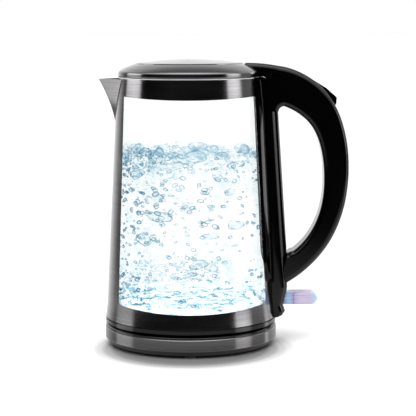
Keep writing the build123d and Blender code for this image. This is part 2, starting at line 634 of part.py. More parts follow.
with BuildPart() as seam_groove:
    extrude(handle_band(COVER_DEPTH - 0.1, COVER_DEPTH + SEAM), amount=30, both=True)
    slab((50, 150), (SEAM_DEPTH - HANDLE_HALF, HANDLE_HALF - SEAM_DEPTH), (30, 260), mode=Mode.SUBTRACT)

with BuildPart() as handle_inner:
    add(handle_blank.part)
    extrude(handle_band(-12, COVER_DEPTH), amount=30, both=True, mode=Mode.SUBTRACT)
    add(seam_groove.part, mode=Mode.SUBTRACT)
    add(grip_space.part, mode=Mode.SUBTRACT)
    add(spine_blank.part, mode=Mode.SUBTRACT)
    add(flange.part, mode=Mode.SUBTRACT)
    add(barrel_seat.part, mode=Mode.SUBTRACT)
    add(wide_envelope.part, mode=Mode.SUBTRACT)
    add(latch_channel.part, mode=Mode.SUBTRACT)
    handle_screw_rods(1.5, -2, 14, mode=Mode.SUBTRACT)
handle_inner.part.label = "handle_inner"
export_step(handle_inner.part, "parts/handle_inner.step")

with BuildPart() as handle_screws:
    handle_screw_rods(2.8, -1.9, 1.8)
    handle_screw_rods(1.5, -0.1, 10)
handle_screws.part.label = "handle_screws"
export_step(handle_screws.part, "parts/handle_screws.step")

# Steam goes from the mouth down the spine to the switch beside the lever.
with BuildPart() as steam_tube:
    with BuildLine() as steam_path:
        FilletPolyline((58.6, 0, STEAM_PORT_Z), (67.6, 0, STEAM_PORT_Z), (74.6, 0, 58.0), radius=5)
    with BuildSketch(Plane(origin=steam_path.line @ 0, z_dir=steam_path.line % 0)):
        Circle(2.5)
        Circle(1.8, mode=Mode.SUBTRACT)
    sweep(path=steam_path.line)
steam_tube.part.label = "steam_tube"
export_step(steam_tube.part, "parts/steam_tube.step")

# ================================================================ lid
def draw_lid_skin(drop):
    """Draw the lid's outer meridian from its skirt to the edge of the disc, moved inwards by drop."""
    foot, side = (LID_R - drop, LID_LOW), (LID_R - drop, 233.6)
    shoulder, edge = (60.15 - 0.7 * drop, 235.35 - 0.8 * drop), (LID_DISC_R + 0.3, 241.5 - drop)
    Line(foot, side)
    ThreePointArc(side, (60.95 - drop, 234.65 - 0.4 * drop), shoulder)
    ThreePointArc(shoulder, (53.5 - 0.2 * drop, 238.65 - 0.95 * drop), edge)
    return foot, edge


with BuildPart() as lid_ring:
    with BuildSketch(Plane.XZ) as lid_section:
        with BuildLine():
            outer_foot, outer_edge = draw_lid_skin(0)
            inner_foot, inner_edge = draw_lid_skin(0.9)
            Line(outer_foot, inner_foot)
            Line(outer_edge, inner_edge)
        make_face()
    revolve(axis=Axis.Z)
lid_ring.part.label = "lid_ring"
export_step(lid_ring.part, "parts/lid_ring.step")

# The disc is let into the ring and stands a little proud of it.
with BuildPart() as lid_disc:
    with BuildSketch(Plane.XZ):
        with BuildLine():
            TangentArc((0, LID_TOP), (LID_DISC_R - 0.6, 242.1), tangent=(1, 0))
            Polyline((LID_DISC_R - 0.6, 242.1), (LID_DISC_R, 241.7), (LID_DISC_R, 240.9),
                     (LID_DISC_R - 1.0, 240.9))
            TangentArc((0, LID_TOP - 0.9), (LID_DISC_R - 1.0, 240.9), tangent=(1, 0))
            Line((0, LID_TOP - 0.9), (0, LID_TOP))
        make_face()
    revolve(axis=Axis.Z)
lid_disc.part.label = "lid_disc"
export_step(lid_disc.part, "parts/lid_disc.step")

LINER_R, LINER_LOW = 56.5, 222.5
with BuildPart() as lid_frame:
    spun((59.3, 232.9), (58.9, 234.0), (45.9, 240.3), (30, 240.3), (30, 238.7), (45.2, 238.7), (57.2, 232.9))
    posts(3.5, 40, 3, 90, LINER_LOW + 1.8, 239)
    posts(1.3, 40, 3, 90, LINER_LOW, 236, mode=Mode.SUBTRACT)
lid_frame.part.label = "lid_frame"
export_step(lid_frame.part, "parts/lid_frame.step")

with BuildPart() as lid_liner:
    spun((0, LINER_LOW), (LINER_R - 2, LINER_LOW), (LINER_R, LINER_LOW + 2), (LINER_R, 231.0), (60.1, 231.0),
         (60.1, 232.7), (LINER_R - 1.6, 232.7), (LINER_R - 1.6, LINER_LOW + 1.7), (0, LINER_LOW + 1.7))
    posts(1.3, 40, 3, 90, 220, 226, mode=Mode.SUBTRACT)
    posts(2.6, 40, 3, 90, 220, LINER_LOW + 0.8, mode=Mode.SUBTRACT)
lid_liner.part.label = "lid_liner"
export_step(lid_liner.part, "parts/lid_liner.step")

with BuildPart() as lid_screws:
    posts(2.4, 40, 3, 90, LINER_LOW, LINER_LOW + 0.8)
    posts(1.3, 40, 3, 90, LINER_LOW + 0.8, 234)
lid_screws.part.label = "lid_screws"
export_step(lid_screws.part, "parts/lid_screws.step")

with BuildPart() as lid_gasket:
    spun((LINER_R + 0.05, 227.6), (LINER_R + 0.8, 227.6), (57.8, 228.7), (LINER_R + 0.8, 229.8),
         (LINER_R + 0.05, 229.8))
lid_gasket.part.label = "lid_gasket"
export_step(lid_gasket.part, "parts/lid_gasket.step")

# Arm that carries the lid: a hollow block with a round rear end about the hinge pin.
with BuildPart() as lid_arm:
    with BuildSketch(Plane.XZ):
        with BuildLine():
            rear_x = HINGE_X + sqrt(BARREL_R ** 2 - (239.6 - HINGE_Z) ** 2)
            corner = BARREL_R * sqrt(0.5)
            under = (HINGE_X - corner, HINGE_Z - corner)
            ThreePointArc((rear_x, 239.6), (HINGE_X + corner, HINGE_Z - corner), under)
            Polyline(under, (61.6, 230.6), (50, 230.6), (46.6, 240.6), (47.6, 241.9))
            ThreePointArc((47.6, 241.9), (61.5, 241.4), (rear_x, 239.6))
        make_face()
    extrude(amount=ARM_HALF, both=True)
    top_edges = lid_arm.edges().filter_by_position(Axis.Z, 238, 243).filter_by(Axis.Y, reverse=True)
    fillet(top_edges.sort_by(SortBy.LENGTH)[-2:], 4.0)
    spun((0, 215), (LID_R + 0.1, 215), (LID_R + 0.1, 233.6), (61.05, 234.7), (60.25, 235.45), (53.5, 238.8),
         (LID_DISC_R + 0.5, 241.65), (LID_DISC_R, 246), (0, 246), mode=Mode.SUBTRACT)
    slab((62, 76), (-10.8, 10.8), (227, 238.9), mode=Mode.SUBTRACT)
    cross_rod(HINGE_X, HINGE_Z, PIN_R, PIN_HALF + 0.1, mode=Mode.SUBTRACT)
lid_arm.part.label = "lid_arm"
export_step(lid_arm.part, "parts/lid_arm.step")

with BuildPart() as hinge_pin:
    cross_rod(HINGE_X, HINGE_Z, PIN_R, PIN_HALF)
hinge_pin.part.label = "hinge_pin"
export_step(hinge_pin.part, "parts/hinge_pin.step")

lid_spring = coil(2.2, 0.6, 0.95, 4.2, (HINGE_X, 5.4, HINGE_Z), (0, 1, 0))
lid_spring.part.label = "lid_spring"
export_step(lid_spring.part, "parts/lid_spring.step")

with BuildPart() as hinge_bracket:
    slab((63.1, 70.9), (-PLATE_HALF, PLATE_HALF), (226.0, 227.4))
    slab((65.0, 69.8), (-EAR_HALF, EAR_HALF), (227.4, HINGE_Z))
    cross_rod(HINGE_X, HINGE_Z, 2.5, EAR_HALF)
    cross_rod(HINGE_X, HINGE_Z, PIN_R + RUNNING, 20, mode=Mode.SUBTRACT)
hinge_bracket.part.label = "hinge_bracket"
export_step(hinge_bracket.part, "parts/hinge_bracket.step")

# ================================================================ controls
with BuildPart() as release_button:
    side_shape(BUTTON_SIDE, BUTTON_HALF)
    crown = release_button.edges().filter_by(Axis.Y).sort_by_distance((125.3, 0, 212.3))[0]
    fillet(crown, 1.2)
    cross_rod(BUTTON_X, BUTTON_Z, 1.2 + RUNNING, 20, mode=Mode.SUBTRACT)
release_button.part.label = "release_button"
export_step(release_button.part, "parts/release_button.step")

with BuildPart() as button_pin:
    cross_rod(BUTTON_X, BUTTON_Z, 1.2, 12.4)
button_pin.part.label = "button_pin"
export_step(button_pin.part, "parts/button_pin.step")

button_spring = coil(2.2, 0.6, 1.5, 7.0, (116.2, 0, 208.4), (-0.75, 0, -0.66))
button_spring.part.label = "button_spring"
export_step(button_spring.part, "parts/button_spring.step")

with BuildPart() as latch_slider:
    with BuildSketch(latch_plane):
        with Locations((latch_length / 2, 0)):
            Rectangle(latch_length, 3.0)
    extrude(amount=3.5, both=True)
latch_slider.part.label = "latch_slider"
export_step(latch_slider.part, "parts/latch_slider.step")

latch_spring = coil(1.5, 0.5, 1.4, 8.4, (94.0, 0, 217.0), latch_way)
latch_spring.part.label = "latch_spring"
export_step(latch_spring.part, "parts/latch_spring.step")

with BuildPart() as switch_lever:
    with BuildSketch(Plane.XZ):
        with BuildLine():
            top, low = LEVER_Z + LEVER_HALF_Z, LEVER_Z - LEVER_HALF_Z
            Polyline((79.4, low), (LEVER_END - LEVER_HALF_Z, low))
            ThreePointArc((LEVER_END - LEVER_HALF_Z, low), (LEVER_END, LEVER_Z),
                          (LEVER_END - LEVER_HALF_Z, top))
            Polyline((LEVER_END - LEVER_HALF_Z, top), (79.4, top), (79.4, low))
        make_face()
        with Locations((LEVER_X, LEVER_Z)):
            Circle(3.4)
        with Locations((LEVER_X + 2, LEVER_Z)):
            Rectangle(4, 6.8)
    extrude(amount=LEVER_HALF_Y, both=True)
    rim = switch_lever.faces().filter_by(Plane.XZ).sort_by(Axis.Y)
    fillet((rim[0].edges() + rim[-1].edges()).filter_by_position(Axis.X, 80, 120), 2.2)
    cross_rod(LEVER_X, LEVER_Z, 1.2 + RUNNING, 20, mode=Mode.SUBTRACT)
switch_lever.part.label = "switch_lever"
export_step(switch_lever.part, "parts/switch_lever.step")

with BuildPart() as lever_pin:
    cross_rod(LEVER_X, LEVER_Z, 1.2, 13.7)
lever_pin.part.label = "lever_pin"
export_step(lever_pin.part, "parts/lever_pin.step")

lever_spring = coil(1.2, 0.4, 1.1, 4.2, (75.3, 0, 30.2))
lever_spring.part.label = "lever_spring"
export_step(lever_spring.part, "parts/lever_spring.step")

with BuildPart() as indicator_lamp:
    with Locations((76.6, 0, 52.0)):
        Cylinder(1.5, 3.0)
    with Locations((76.6, 0, 50.5)):
        Sphere(1.5)
indicator_lamp.part.label = "indicator_lamp"
export_step(indicator_lamp.part, "parts/indicator_lamp.step")
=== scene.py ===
import math
import random

import bpy
import bmesh
import numpy as np
from mathutils import Matrix, Vector, noise


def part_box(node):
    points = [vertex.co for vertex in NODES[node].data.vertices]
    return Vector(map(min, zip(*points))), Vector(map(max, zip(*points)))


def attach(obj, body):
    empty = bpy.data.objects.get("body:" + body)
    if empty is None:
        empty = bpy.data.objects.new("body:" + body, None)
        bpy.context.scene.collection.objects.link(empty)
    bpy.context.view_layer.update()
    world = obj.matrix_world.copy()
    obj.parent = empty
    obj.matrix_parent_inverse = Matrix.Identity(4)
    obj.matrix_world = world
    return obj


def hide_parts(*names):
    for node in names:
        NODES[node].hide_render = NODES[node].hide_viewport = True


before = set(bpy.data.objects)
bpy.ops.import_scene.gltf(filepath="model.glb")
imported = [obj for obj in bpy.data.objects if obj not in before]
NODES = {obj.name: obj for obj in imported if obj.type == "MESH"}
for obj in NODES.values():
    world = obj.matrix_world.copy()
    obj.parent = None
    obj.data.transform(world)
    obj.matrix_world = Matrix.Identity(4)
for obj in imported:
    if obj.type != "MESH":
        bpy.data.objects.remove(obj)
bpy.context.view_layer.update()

MM = 0.001

# Camera: a long lens in front of the jug, a little above its lid. Angles are in degrees.
LENS, SENSOR = 132.2, 36.0
CAMERA_SPOT = (0.01528, -1.3095, 0.27687)
CAMERA_TILT, CAMERA_ROLL = 83.036, -0.2

# Studio round the object, as (azimuth in degrees, strength): 0 is in front and 90 on the handle's side.
LEFT_BOX = [(-121, 0.0), (-116, 0.85), (-100, 1.0), (-87, 0.85), (-81, 0.0)]
RIGHT_BOX = [(54, 0.0), (61, 0.05), (65, 0.8), (78, 1.0), (86, 0.8), (92, 0.08),
             (118, 0.06), (121, 0.9), (128, 0.9), (132, 0.0)]
SWEEP = [(-180, 1.0), (-150, 0.95), (-137, 0.62), (-128, 0.25), (-119, 0.05), (-70, 0.003),
         (60, 0.003), (94, 0.3), (122, 0.35), (134, 0.9), (180, 1.0)]
# The same from below to above, as (sine of the elevation, strength).
LEFT_FADE = [(-0.4, 0.5), (-0.25, 0.6), (-0.19, 0.75), (-0.16, 0.28), (0.02, 0.3), (0.07, 1.0)]
RIGHT_FADE = [(-0.3, 0.6), (-0.19, 0.95), (-0.16, 0.42), (-0.03, 0.5), (0.07, 1.0)]
GROUND = [(-0.6, 0.7), (-0.4, 0.5), (-0.2, 0.3), (-0.14, 0.02), (-0.1, 0.0)]
FRONT_TOP = [(0.2, 0.03), (0.37, 0.2), (0.64, 0.42), (0.87, 0.6), (0.96, 1.0)]
REAR_TOP = [(0.3, 0.31), (0.6, 0.28), (0.72, 0.17), (0.85, 0.1)]
BOX_STRENGTH = 3.5       # softboxes at the sides
SWEEP_STRENGTH = 1.1     # white background, as the object mirrors it
TOP_STRENGTH = 3.2       # overhead softbox
SUN_STRENGTH, SUN_WIDTH, SUN_LEAN = 3.0, 80, (8, -3)

# Floor, by distance in metres from the jug's axis.
FLOOR_RADIUS = 30.0
FLOOR_CLEAR = [(0.12, 0.4), (0.17, 0.7), (0.26, 0.6), (0.45, 0.8), (0.7, 1.0)]   # mirror rays let through
# Painted shade: near the object the floor is darker for mirror rays only.
FLOOR_DIM = [(0.12, 0.7), (0.2, 0.0)]       # how much darker its mirror image is
# Painted light: the floor is painted brighter beside the object, against the shade the object casts there.
FLOOR_NEAR, FLOOR_FAR = 0.74, 0.51          # tone beside the object, and out where the glass shows it
NEAR_END, FAR_START = 0.15, 0.26
SHADE_CENTRE, SHADE_END = (0.0, -0.030, 0.0), 0.092      # contact shade under the base
SHADE = [(0.60, 0.17), (0.68, 0.22), (0.77, 0.40), (0.85, 0.64), (0.92, 0.82), (1.0, 1.0)]

# CAD nodes that don't wear the plain finish of their slot.
SPECIAL_FINISH = {"lid_disc": "disc_steel", "trim_ring": "satin_trim"}

# Boiling water.
WATER_TOP = 165.5 * MM
SPLASH = 9.0 * MM        # height of the rippled skin above the surface
CHOP = 2.4 * MM          # swell of the surface
FOAM = 5.0 * MM          # boiling layer over the heating plate
LUMPS = 1.3 * MM         # unevenness of the boiling layer

# Large bubbles, one by one: (turn in radians from the front, height, gap to the glass, half width,
# half height, tilt in radians). Lengths here and below are in millimetres.
LARGE_BUBBLES = [
    (-0.42, 116, 7, 11.5, 4.2, -0.06), (-0.74, 96, 8, 8.5, 4.6, 0.16), (-0.50, 98, 5, 5.0, 3.0, 0.4),
    (0.30, 100.5, 6, 7.8, 2.3, 0.02), (0.42, 149, 6, 5.6, 2.6, 0.42), (-0.05, 122, 5, 6.0, 2.4, 0.3),
    (0.12, 77, 6, 8.0, 3.6, -0.2), (0.30, 74, 7, 6.0, 3.4, 0.3), (-0.05, 126, 6, 4.6, 2.6, -0.5),
    (0.62, 136, 5, 4.8, 2.4, -0.15), (-0.9, 150, 6, 9.0, 4.0, -0.2), (-0.35, 158, 5, 11.0, 3.2, 0.1),
    (0.75, 158, 6, 9.0, 3.0, -0.1), (2.4, 96, 6, 9.0, 4.0, 0.2), (-2.6, 120, 6, 8.0, 3.4, -0.2)]
# Domes on the surface: (turn, rise above the surface, gap to the glass, half width, half height).
DOMES = [
    (0.10, 0.5, 8, 9.6, 5.0), (-0.62, 1.5, 9, 7.5, 3.8), (-0.84, 3.0, 12, 8.0, 3.6),
    (-0.35, 1.0, 14, 6.5, 3.0), (0.56, 0.5, 12, 7.0, 3.0), (1.9, 1.0, 12, 8.0, 4.4),
    (-2.0, 1.0, 12, 9.0, 4.8), (3.0, 1.0, 16, 8.5, 4.2), (2.5, 0.5, 30, 7.0, 3.6),
    (-1.2, 1.0, 34, 7.5, 4.0), (0.4, 1.0, 38, 8.0, 4.0)]


# ---------------------------------------------------------------- camera, floor and light
def make_camera():
    """Long-lens view, a little above the lid's height and looking slightly down."""
    data = bpy.data.cameras.new("camera")
    data.lens, data.sensor_width = LENS, SENSOR
    data.clip_start, data.clip_end = 0.05, 100.0
    camera = bpy.data.objects.new("camera", data)
    bpy.context.scene.collection.objects.link(camera)
    tilt = Matrix.Rotation(math.radians(CAMERA_TILT), 4, "X")
    roll = Matrix.Rotation(math.radians(CAMERA_ROLL), 4, "Z")
    camera.matrix_world = Matrix.Translation(CAMERA_SPOT) @ tilt @ roll
    bpy.context.scene.camera = camera


def shader(tree, kind, inputs=(), **settings):
    """Add a node, set its properties, and set or link its inputs by name or number."""
    made = tree.nodes.new(kind)
    for name, value in settings.items():
        setattr(made, name, value)
    for name, value in dict(inputs).items():
        if isinstance(value, bpy.types.NodeSocket):
            tree.links.new(value, made.inputs[name])
        else:
            made.inputs[name].default_value = value
    return made


def empty_material(name):
    """Material with an empty node tree, and the tree."""
    material = bpy.data.materials.new(name)
    material.use_nodes = True
    material.node_tree.nodes.clear()
    return material, material.node_tree


def maths(tree, operation, a, b=0.0, clamp=False):
    return shader(tree, "ShaderNodeMath", {0: a, 1: b}, operation=operation, use_clamp=clamp).outputs[0]


def scaled(tree, value, slope, start):
    """slope * value + start"""
    return shader(tree, "ShaderNodeMath", {0: value, 1: slope, 2: start}, operation="MULTIPLY_ADD").outputs[0]


def average(tree, a, b):
    return maths(tree, "MULTIPLY", maths(tree, "ADD", a, b), 0.5)


def ramp(tree, value, stops, smooth=False):
    """Map a number through (position, grey or colour) stops."""
    made = shader(tree, "ShaderNodeValToRGB", {"Fac": value})
    made.color_ramp.interpolation = "EASE" if smooth else "LINEAR"
    elements = made.color_ramp.elements
    while len(elements) < len(stops):
        elements.new(0.5)
    for element, (position, colour) in zip(elements, stops):
        element.position = position
        grey = isinstance(colour, (int, float))
        element.color = (colour, colour, colour, 1) if grey else (*colour, 1)
    return made.outputs["Color"]


def step(tree, value, low, high):
    """0 at low and 1 at high, smooth between."""
    made = shader(tree, "ShaderNodeMapRange", {"Value": value, "From Min": low, "From Max": high},
                  interpolation_type="SMOOTHSTEP")
    return made.outputs["Result"]


def mixed(tree, share, low, high):
    """Number between low and high by share."""
    return shader(tree, "ShaderNodeMix", {0: share, 2: low, 3: high}, data_type="FLOAT").outputs[0]


def make_world():
    """A white sweep behind the object, dark in front, softboxes at the sides and a soft top light.

    That is what surfaces mirror and are lit by. Seen directly or through glass, the studio is white."""
    world = bpy.data.worlds.new("studio")
    bpy.context.scene.world = world
    world.use_nodes = True
    tree = world.node_tree
    tree.nodes.clear()
    way = shader(tree, "ShaderNodeTexCoord").outputs["Generated"]
    axes = shader(tree, "ShaderNodeSeparateXYZ", {0: way})
    rise = axes.outputs["Z"]
    turn = maths(tree, "ARCTAN2", axes.outputs["X"], maths(tree, "MULTIPLY", axes.outputs["Y"], -1.0))
    share = scaled(tree, turn, 1 / math.tau, 0.5)
    height = scaled(tree, rise, 0.5, 0.5)

    def around(stops):
        return ramp(tree, share, [(0.5 + degrees / 360, strength) for degrees, strength in stops])

    def upwards(stops):
        return ramp(tree, height, [(0.5 + sine / 2, strength) for sine, strength in stops])

    boxes = maths(tree, "ADD", maths(tree, "MULTIPLY", around(LEFT_BOX), upwards(LEFT_FADE)),
                  maths(tree, "MULTIPLY", around(RIGHT_BOX), upwards(RIGHT_FADE)))
    sides = maths(tree, "MAXIMUM", maths(tree, "MULTIPLY", boxes, BOX_STRENGTH),
                  maths(tree, "MULTIPLY", around(SWEEP), SWEEP_STRENGTH))
    sides = maths(tree, "MAXIMUM", sides, upwards(GROUND))
    behind = step(tree, axes.outputs["Y"], -0.02, 0.2)
    high = maths(tree, "MULTIPLY", mixed(tree, behind, upwards(FRONT_TOP), upwards(REAR_TOP)), TOP_STRENGTH)
    seen = mixed(tree, step(tree, rise, 0.2, 0.5), sides, high)
    path = shader(tree, "ShaderNodeLightPath")
    direct = maths(tree, "MAXIMUM", path.outputs["Is Camera Ray"], path.outputs["Is Transmission Ray"])
    strength = mixed(tree, direct, seen, 1.0)
    light = shader(tree, "ShaderNodeBackground", {"Color": (1, 1, 1, 1), "Strength": strength})
    shader(tree, "ShaderNodeOutputWorld", {"Surface": light.outputs[0]})


def make_floor():
    """Pale floor with a painted contact shade, painted brighter beside the object and painted darker there
    for mirror rays. Mirror rays partly pass through it to the studio below the horizon.
    """
    mesh = bpy.data.meshes.new("floor")
    bm = bmesh.new()
    bmesh.ops.create_circle(bm, cap_ends=True, radius=FLOOR_RADIUS, segments=96)
    bm.to_mesh(mesh)
    bm.free()
    floor = bpy.data.objects.new("floor", mesh)
    bpy.context.scene.collection.objects.link(floor)
    floor.visible_shadow = False
    material, tree = empty_material("floor")
    place = shader(tree, "ShaderNodeTexCoord").outputs["Object"]
    distance = shader(tree, "ShaderNodeVectorMath", {0: place}, operation="LENGTH").outputs["Value"]
    mirror = shader(tree, "ShaderNodeLightPath").outputs["Is Glossy Ray"]
    # Painted shade in the floor's mirror image near the object.
    dim = maths(tree, "MULTIPLY", ramp(tree, distance, FLOOR_DIM), mirror)
    grain = shader(tree, "ShaderNodeTexNoise", {"Vector": place, "Scale": 60.0, "Detail": 4.0}).outputs["Fac"]
    # Painted light: brighter tone beside the object, against the shade it casts.
    outward = step(tree, distance, NEAR_END, FAR_START)
    grey = ramp(tree, outward, [(0.0, FLOOR_NEAR), (1.0, FLOOR_FAR)])
    tone = maths(tree, "MULTIPLY", grey, ramp(tree, grain, [(0.3, 1.0), (0.7, 1.02)]))
    tone = maths(tree, "MULTIPLY", tone, maths(tree, "SUBTRACT", 1.0, dim))
    beside = shader(tree, "ShaderNodeVectorMath", {0: place, 1: SHADE_CENTRE}, operation="DISTANCE")
    reach = maths(tree, "MULTIPLY", beside.outputs["Value"], 1 / SHADE_END)
    shade = ramp(tree, reach, SHADE, True)
    tone = shader(tree, "ShaderNodeMix", {0: 1.0, 6: tone, 7: shade}, data_type="RGBA", blend_type="MULTIPLY")
    paper = shader(tree, "ShaderNodeBsdfDiffuse", {"Color": tone.outputs[2]})
    clear = shader(tree, "ShaderNodeBsdfTransparent")
    through = maths(tree, "MULTIPLY", ramp(tree, distance, FLOOR_CLEAR), mirror)
    surface = shader(tree, "ShaderNodeMixShader", {0: through, 1: paper.outputs[0], 2: clear.outputs[0]})
    shader(tree, "ShaderNodeOutputMaterial", {"Surface": surface.outputs[0]})
    mesh.materials.append(material)


def make_key_light():
    """Large soft overhead light for the floor and the matt surfaces; it leaves no mirror image."""
    data = bpy.data.lights.new("overhead", "SUN")
    data.energy, data.angle = SUN_STRENGTH, math.radians(SUN_WIDTH)
    lamp = bpy.data.objects.new("overhead", data)
    bpy.context.scene.collection.objects.link(lamp)
    lamp.rotation_euler = (math.radians(SUN_LEAN[0]), math.radians(SUN_LEAN[1]), 0)
    lamp.visible_glossy = False


# ---------------------------------------------------------------- materials
def blank(name, base, roughness, metallic=0.0, **sockets):
    """Principled material; returns it with its tree and its shader node."""
    material = bpy.data.materials.new(name)
    material.use_nodes = True
    tree = material.node_tree
    main = tree.nodes["Principled BSDF"]
    main.inputs["Base Color"].default_value = (*base, 1)
    main.inputs["Roughness"].default_value = roughness
    main.inputs["Metallic"].default_value = metallic
    for key, value in sockets.items():
        main.inputs[key.replace("_", " ")].default_value = value
    return material, tree, main


def place_of(tree, scale=(1, 1, 1)):
    """Object coordinates, stretched by a scale on each axis."""
    place = shader(tree, "ShaderNodeTexCoord").outputs["Object"]
    return shader(tree, "ShaderNodeMapping", {"Vector": place, "Scale": scale}).outputs[0]


def axes_of(tree, scale=(1, 1, 1)):
    return shader(tree, "ShaderNodeSeparateXYZ", {0: place_of(tree, scale)}).outputs


def fuzz(tree, vector, scale, detail=3.0, roughness=0.5):
    """Soft noise, about 0.5 on average."""
    made = shader(tree, "ShaderNodeTexNoise", {"Vector": vector, "Scale": scale, "Detail": detail,
                                               "Roughness": roughness})
    return made.outputs["Fac"]


def rough_from(tree, main, value, low, high):
    """Let a pattern move the roughness between two values."""
    made = shader(tree, "ShaderNodeMapRange", {"Value": value, "From Min": 0.3, "From Max": 0.7,
                                               "To Min": low, "To Max": high})
    tree.links.new(made.outputs["Result"], main.inputs["Roughness"])


def bump_from(tree, main, value, strength, distance):
    made = shader(tree, "ShaderNodeBump", {"Height": value, "Strength": strength, "Distance": distance})
    tree.links.new(made.outputs["Normal"], main.inputs["Normal"])


def colour_from(tree, main, value, stops):
    tree.links.new(ramp(tree, value, stops), main.inputs["Base Color"])


def brushed_steel(name, dark, light, flat=False):
    """Steel brushed round the jug's axis: fine lines that run level, or in circles on a flat disc."""
    material, tree, main = blank(name, dark, 0.2, 1.0, Anisotropic=0.6, Anisotropic_Rotation=0.25)
    axes = axes_of(tree)
    across = axes["Z"]
    if flat:
        plan = shader(tree, "ShaderNodeCombineXYZ", {"X": axes["X"], "Y": axes["Y"]}).outputs[0]
        across = shader(tree, "ShaderNodeVectorMath", {0: plan}, operation="LENGTH").outputs["Value"]
    slow = axes_of(tree, (16, 16, 16))

    def lines(per_metre):
        spot = shader(tree, "ShaderNodeCombineXYZ", {"X": slow["X"], "Y": slow["Y"],
                                                     "Z": maths(tree, "MULTIPLY", across, per_metre)})
        return fuzz(tree, spot.outputs[0], 1.0, 3.0, 0.6)

    fine, broad = lines(5200.0), lines(1100.0)
    cloud = fuzz(tree, place_of(tree), 26.0, 3.0)
    both = average(tree, fine, broad)
    colour_from(tree, main, both, [(0.36, dark), (0.64, light)])
    rough_from(tree, main, average(tree, both, cloud), 0.10, 0.19)
    bump_from(tree, main, fine, 0.16, 0.00002)
    around = shader(tree, "ShaderNodeTangent", direction_type="RADIAL", axis="Z")
    tree.links.new(around.outputs[0], main.inputs["Tangent"])
    return material


def gloss_plastic(name, tone):
    """Polished black moulding with a trace of orange peel and hair-fine wiping marks."""
    material, tree, main = blank(name, tone, 0.1, IOR=1.47)
    peel = fuzz(tree, place_of(tree), 420.0, 2.0)
    wipe = fuzz(tree, place_of(tree, (900, 900, 60)), 1.0, 3.0, 0.7)
    cloud = fuzz(tree, place_of(tree), 38.0, 3.0)
    rough_from(tree, main, average(tree, wipe, cloud), 0.05, 0.13)
    colour_from(tree, main, cloud, [(0.3, tone), (0.75, tuple(1.6 * c for c in tone))])
    bump_from(tree, main, peel, 0.12, 0.00008)
    return material


def satin_plastic(name, tone, spread=1.35, roughness=(0.38, 0.52), grain=2600.0, depth=0.00006):
    """Moulding with a spark-eroded grain."""
    material, tree, main = blank(name, tone, roughness[0], IOR=1.49)
    pores = fuzz(tree, place_of(tree), grain, 2.0, 0.6)
    cloud = fuzz(tree, place_of(tree), 55.0, 3.0)
    colour_from(tree, main, cloud, [(0.3, tone), (0.75, tuple(min(1.0, spread * c) for c in tone))])
    rough_from(tree, main, pores, *roughness)
    bump_from(tree, main, pores, 0.5, depth)
    return material


def metal(name, dark, light, roughness, scale=(900, 900, 900), depth=0.00002):
    """Bare metal with drawn or rolled marks."""
    material, tree, main = blank(name, dark, roughness[0], 1.0)
    marks = fuzz(tree, place_of(tree, scale), 1.0, 4.0, 0.6)
    cloud = fuzz(tree, place_of(tree), 70.0, 3.0)
    colour_from(tree, main, cloud, [(0.3, dark), (0.7, light)])
    rough_from(tree, main, marks, *roughness)
    bump_from(tree, main, marks, 0.3, depth)
    return material


def clear_film(name, tint, rim):
    """Thin clear wall: see-through when faced squarely, and glossy towards its edges."""
    material, tree = empty_material(name)
    facing = shader(tree, "ShaderNodeLayerWeight", {"Blend": 0.35}).outputs["Facing"]
    cloud = fuzz(tree, place_of(tree), 25.0, 2.0)
    clouded = ramp(tree, cloud, [(0.3, tint), (0.7, (1, 1, 1))])
    clear = shader(tree, "ShaderNodeBsdfTransparent", {"Color": clouded})
    shine = shader(tree, "ShaderNodeBsdfGlossy", {"Color": (1, 1, 1, 1), "Roughness": 0.03})
    share = maths(tree, "MULTIPLY", facing, rim)
    surface = shader(tree, "ShaderNodeMixShader", {0: share, 1: clear.outputs[0], 2: shine.outputs[0]})
    shader(tree, "ShaderNodeOutputMaterial", {"Surface": surface.outputs[0]})
    return material


def edge_shaded_film(name, stops, broken=0.0, grain=260.0, blend=0.5, shine=0.04):
    """Clear liquid skin painted darker and bluer towards its edges as painted shade; broken lets a pattern
    interrupt that painted shade.
    """
    material, tree = empty_material(name)
    facing = shader(tree, "ShaderNodeLayerWeight", {"Blend": blend}).outputs["Facing"]
    # Painted shade: the see-through colour darkens towards the edges, following the stops.
    tint = ramp(tree, facing, stops)
    gaps = step(tree, fuzz(tree, place_of(tree), grain, 2.0), 0.36, 0.62)
    keep = scaled(tree, gaps, broken, 1 - broken)
    colour = shader(tree, "ShaderNodeMix", {0: keep, 6: (1, 1, 1, 1), 7: tint}, data_type="RGBA").outputs[2]
    clear = shader(tree, "ShaderNodeBsdfTransparent", {"Color": colour})
    gloss = shader(tree, "ShaderNodeBsdfGlossy", {"Roughness": 0.05})
    surface = shader(tree, "ShaderNodeMixShader", {0: shine, 1: clear.outputs[0], 2: gloss.outputs[0]})
    shader(tree, "ShaderNodeOutputMaterial", {"Surface": surface.outputs[0]})
    return material


